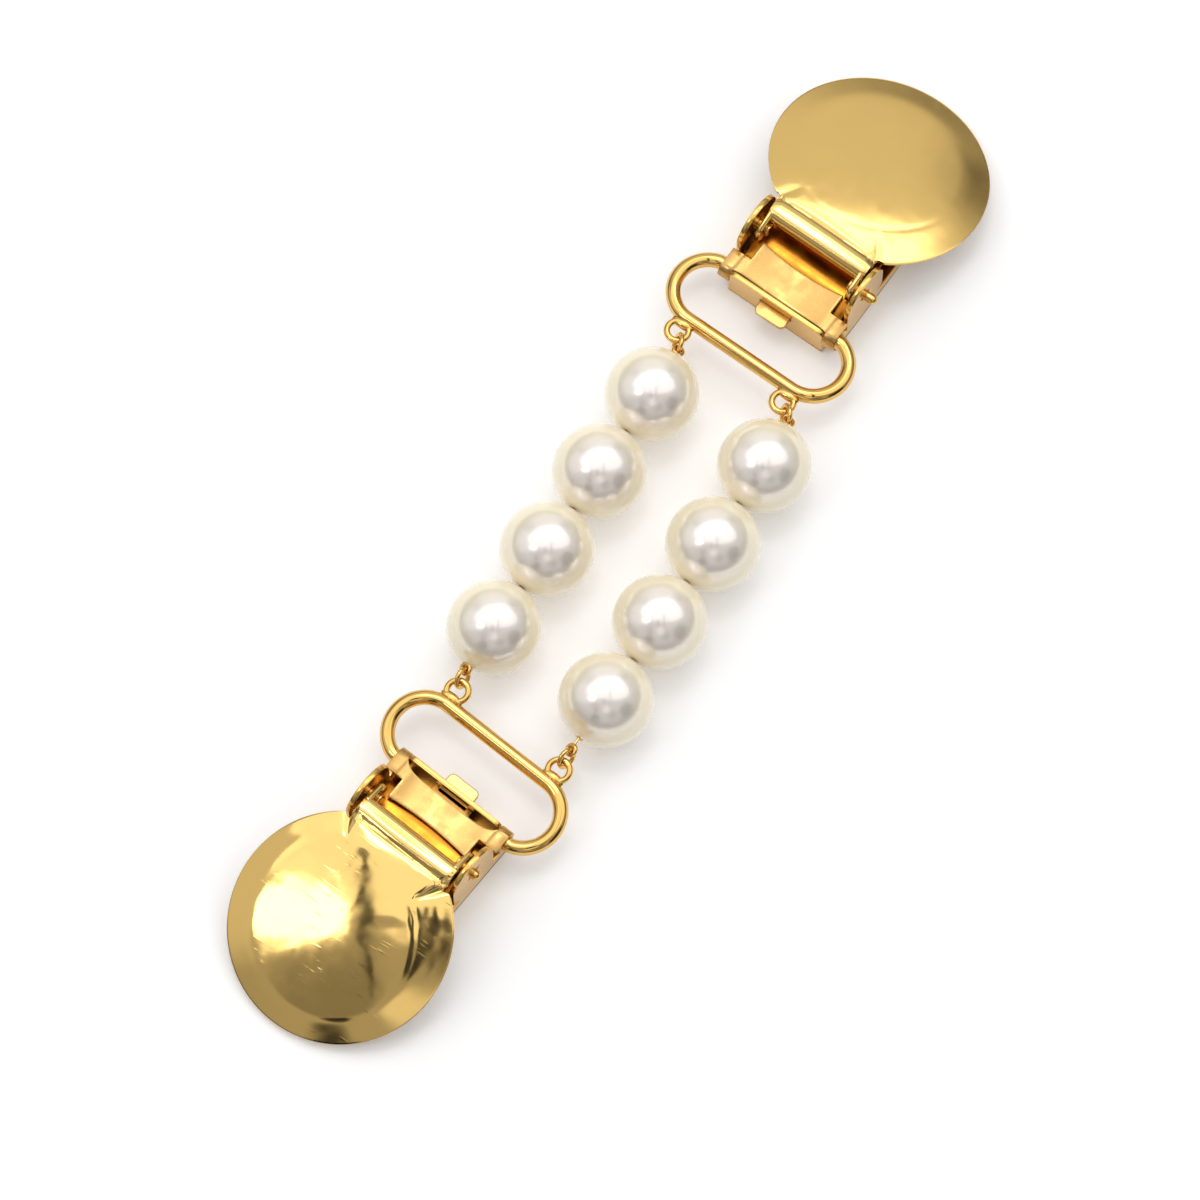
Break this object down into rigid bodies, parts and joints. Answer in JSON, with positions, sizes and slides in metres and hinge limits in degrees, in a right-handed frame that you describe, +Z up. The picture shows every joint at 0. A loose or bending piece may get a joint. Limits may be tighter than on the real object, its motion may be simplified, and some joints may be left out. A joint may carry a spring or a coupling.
{
  "type": "sweater clip",
  "caption": "Sweater clip of two polished gold-tone spring clips with round domed faces, joined by two strands of ivory pearls.",
  "frame": {"origin": "middle of the outline, on the table the clip lies on", "axes": "+X along the pearl strands to the top clip, +Y to the left strand, +Z up from the table"},
  "size_m": [0.1224, 0.0258, 0.01],
  "materials": {
    "gold": "polished gold-tone plating",
    "pearl": "pearl coating on a drilled bead"
  },
  "bodies": {
    "strands": {"top_ring": "gold", "bottom_ring": "gold", "left_pearl_1": "pearl", "left_pearl_2": "pearl", "left_pearl_3": "pearl", "left_pearl_4": "pearl", "right_pearl_1": "pearl", "right_pearl_2": "pearl", "right_pearl_3": "pearl", "right_pearl_4": "pearl", "left_thread": "gold", "right_thread": "gold", "top_left_link": "gold", "top_right_link": "gold", "bottom_left_link": "gold", "bottom_right_link": "gold"},
    "top_clip": {"top_frame": "gold", "top_bridge": "gold", "top_jaw": "gold", "top_left_pin": "gold", "top_right_pin": "gold"},
    "top_lever_arm": {"top_lever": "gold"},
    "bottom_clip": {"bottom_frame": "gold", "bottom_bridge": "gold", "bottom_jaw": "gold", "bottom_left_pin": "gold", "bottom_right_pin": "gold"},
    "bottom_lever_arm": {"bottom_lever": "gold"}
  },
  "joints": [
    {"name": "top_clip_swing", "type": "hinge", "parent": "strands", "child": "top_clip", "pos_m": [0.03208, 0.00155, 0.0035], "axis": [-0.0305, -0.9995, 0], "range_deg": [-110, 80]},
    {"name": "top_lever_hinge", "type": "hinge", "parent": "top_clip", "child": "top_lever_arm", "pos_m": [0.03723, 0.00139, 0.0059], "axis": [-0.0305, -0.9995, 0], "range_deg": [0, 95]},
    {"name": "bottom_clip_swing", "type": "hinge", "parent": "strands", "child": "bottom_clip", "pos_m": [-0.03214, -0.00055, 0.0035], "axis": [0.0872, 0.9962, 0], "range_deg": [-110, 80]},
    {"name": "bottom_lever_hinge", "type": "hinge", "parent": "bottom_clip", "child": "bottom_lever_arm", "pos_m": [-0.03727, -0.0001, 0.0059], "axis": [0.0872, 0.9962, 0], "range_deg": [0, 95]}
  ]
}
